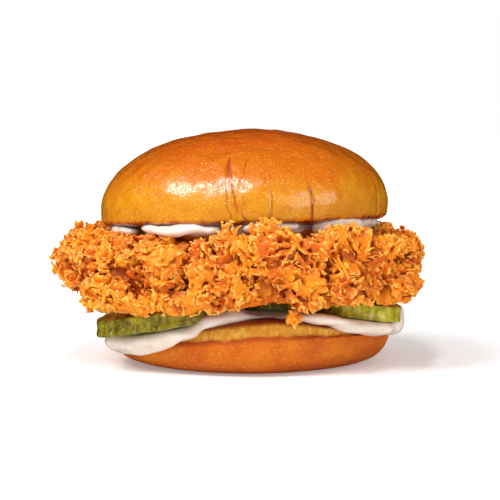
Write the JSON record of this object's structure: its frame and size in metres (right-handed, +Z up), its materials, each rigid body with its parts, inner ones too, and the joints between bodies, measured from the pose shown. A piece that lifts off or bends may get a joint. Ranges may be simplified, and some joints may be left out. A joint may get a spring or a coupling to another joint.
{
  "type": "chicken burger",
  "caption": "Fried chicken fillet with pickle slices and mayonnaise between the two halves of a glossy round bun, standing on its flat base.",
  "frame": {"origin": "on the surface the burger stands on, under the middle of its bounding box", "axes": "+X along the fillet's length, +Y from the front to the back, +Z up"},
  "size_m": [0.146, 0.117, 0.0898],
  "materials": {
    "heel_crust": "baked bread crust, satin, fine grain",
    "crown_crust": "egg-washed bread crust, glossy",
    "fried_crust": "craggy deep-fried breading, slightly oily",
    "pickle": "wet sliced gherkin with striped skin",
    "mayonnaise": "smooth wet sauce"
  },
  "bodies": {
    "root": {"bun_bottom": "heel_crust", "mayo_bottom": "mayonnaise", "pickle_left": "pickle", "pickle_middle": "pickle", "pickle_right": "pickle", "chicken_fillet": "fried_crust", "mayo_top": "mayonnaise", "bun_top": "crown_crust"}
  },
  "joints": []
}
